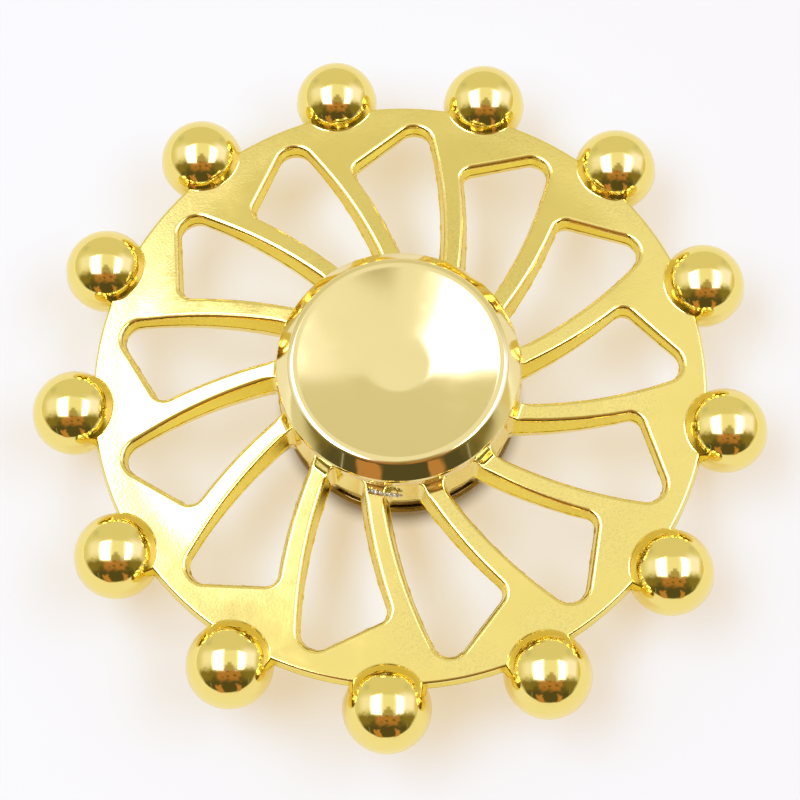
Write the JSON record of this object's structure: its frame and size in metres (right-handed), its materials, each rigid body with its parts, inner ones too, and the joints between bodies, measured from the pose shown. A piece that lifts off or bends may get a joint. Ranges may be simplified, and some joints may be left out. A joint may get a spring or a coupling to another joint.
{
  "type": "fidget spinner",
  "caption": "Hand spinner: a curved-spoke wheel with balls around its rim, turning on a shielded ball bearing held between two dished finger caps.",
  "frame": {"origin": "on the spin axis, at the middle of the thickness, which is also the middle of the bearing", "axes": "+Z along the spin axis, out of the finger cap that faces up; +X to the right and +Y away from someone looking at it as it lies on a table"},
  "size_m": [0.0763, 0.0761, 0.015],
  "materials": {
    "gold_plate": "mirror-bright yellow gold plating over a zinc die-casting, with a faint cast grain on the flat rim",
    "cap_gold": "polished pale champagne-gold plating",
    "bearing_steel": "ground and polished bearing steel",
    "pressed_steel": "pressed sheet steel, satin"
  },
  "bodies": {
    "holder": {"cap_top": "cap_gold", "cap_bottom": "cap_gold", "cap_stud": "bearing_steel", "bearing_inner_ring": "bearing_steel"},
    "rotor": {"wheel_casting": "gold_plate", "bearing_outer_ring": "bearing_steel", "shield_top": "pressed_steel", "shield_bottom": "pressed_steel", "shield_clip_top": "bearing_steel", "shield_clip_bottom": "bearing_steel"},
    "cage": {"cage_half_top": "pressed_steel", "cage_half_bottom": "pressed_steel", "cage_rivet_1": "pressed_steel", "cage_rivet_2": "pressed_steel", "cage_rivet_3": "pressed_steel", "cage_rivet_4": "pressed_steel", "cage_rivet_5": "pressed_steel", "cage_rivet_6": "pressed_steel", "cage_rivet_7": "pressed_steel"},
    "roller_1": {"bearing_ball_1": "bearing_steel"},
    "roller_2": {"bearing_ball_2": "bearing_steel"},
    "roller_3": {"bearing_ball_3": "bearing_steel"},
    "roller_4": {"bearing_ball_4": "bearing_steel"},
    "roller_5": {"bearing_ball_5": "bearing_steel"},
    "roller_6": {"bearing_ball_6": "bearing_steel"},
    "roller_7": {"bearing_ball_7": "bearing_steel"}
  },
  "joints": [
    {"name": "rotor_spin", "type": "hinge", "parent": "holder", "child": "rotor", "pos_m": [0, 0, 0], "axis": [0, 0, 1], "continuous": true},
    {"name": "cage_spin", "type": "hinge", "parent": "holder", "child": "cage", "pos_m": [0, 0, 0], "axis": [0, 0, 1], "continuous": true},
    {"name": "ball_1_roll", "type": "hinge", "parent": "cage", "child": "roller_1", "pos_m": [0.0075, 0, 0], "axis": [0, 0, 1], "continuous": true},
    {"name": "ball_2_roll", "type": "hinge", "parent": "cage", "child": "roller_2", "pos_m": [0.00468, 0.00586, 0], "axis": [0, 0, 1], "continuous": true},
    {"name": "ball_3_roll", "type": "hinge", "parent": "cage", "child": "roller_3", "pos_m": [-0.00167, 0.00731, 0], "axis": [0, 0, 1], "continuous": true},
    {"name": "ball_4_roll", "type": "hinge", "parent": "cage", "child": "roller_4", "pos_m": [-0.00676, 0.00325, 0], "axis": [0, 0, 1], "continuous": true},
    {"name": "ball_5_roll", "type": "hinge", "parent": "cage", "child": "roller_5", "pos_m": [-0.00676, -0.00325, 0], "axis": [0, 0, 1], "continuous": true},
    {"name": "ball_6_roll", "type": "hinge", "parent": "cage", "child": "roller_6", "pos_m": [-0.00167, -0.00731, 0], "axis": [0, 0, 1], "continuous": true},
    {"name": "ball_7_roll", "type": "hinge", "parent": "cage", "child": "roller_7", "pos_m": [0.00468, -0.00586, 0], "axis": [0, 0, 1], "continuous": true}
  ],
  "couplings": [
    {"joint": "cage_spin", "follows": "rotor_spin", "ratio": 0.63},
    {"joint": "ball_1_roll", "follows": "rotor_spin", "ratio": 1.7931},
    {"joint": "ball_2_roll", "follows": "rotor_spin", "ratio": 1.7931},
    {"joint": "ball_3_roll", "follows": "rotor_spin", "ratio": 1.7931},
    {"joint": "ball_4_roll", "follows": "rotor_spin", "ratio": 1.7931},
    {"joint": "ball_5_roll", "follows": "rotor_spin", "ratio": 1.7931},
    {"joint": "ball_6_roll", "follows": "rotor_spin", "ratio": 1.7931},
    {"joint": "ball_7_roll", "follows": "rotor_spin", "ratio": 1.7931}
  ]
}
